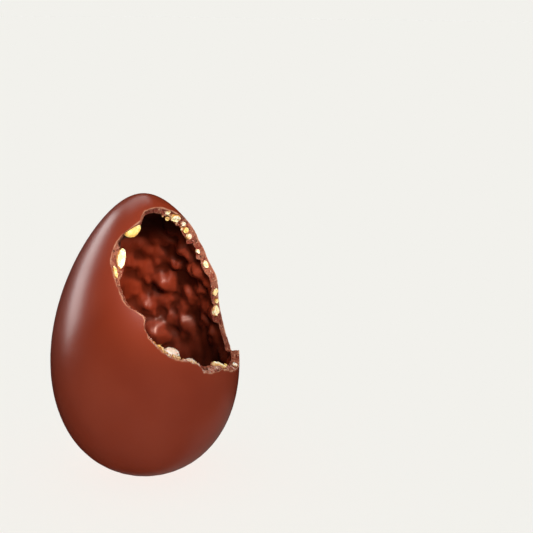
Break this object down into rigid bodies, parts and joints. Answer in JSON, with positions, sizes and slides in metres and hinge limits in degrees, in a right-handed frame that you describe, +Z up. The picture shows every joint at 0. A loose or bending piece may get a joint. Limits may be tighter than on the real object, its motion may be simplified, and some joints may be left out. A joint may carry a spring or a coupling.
{
  "type": "hollow chocolate egg",
  "caption": "Large hollow dark chocolate egg with whole hazelnuts in its thick wall, standing on its blunt end and broken open at one side to show the lumpy inside.",
  "frame": {"origin": "middle of the flat spot the egg stands on", "axes": "+Z up along the egg's axis towards its pointed end, -Y towards the broken side, +X to the right when the break is faced"},
  "size_m": [0.127, 0.127, 0.19],
  "materials": {
    "chocolate": "semi-gloss dark chocolate, moulded smooth outside, glossier and lumpy inside, dull and grainy where broken",
    "hazelnut": "roasted hazelnut, cream where snapped, golden brown at the rim"
  },
  "bodies": {
    "root": {"chocolate_wall": "chocolate", "hazelnut_01": "hazelnut", "hazelnut_02": "hazelnut", "hazelnut_03": "hazelnut", "hazelnut_04": "hazelnut", "hazelnut_05": "hazelnut", "hazelnut_06": "hazelnut", "hazelnut_07": "hazelnut", "hazelnut_08": "hazelnut", "hazelnut_09": "hazelnut", "hazelnut_10": "hazelnut", "hazelnut_11": "hazelnut", "hazelnut_12": "hazelnut", "hazelnut_13": "hazelnut", "hazelnut_14": "hazelnut", "hazelnut_15": "hazelnut", "hazelnut_16": "hazelnut", "hazelnut_17": "hazelnut", "hazelnut_18": "hazelnut", "hazelnut_19": "hazelnut", "hazelnut_20": "hazelnut"}
  },
  "joints": []
}
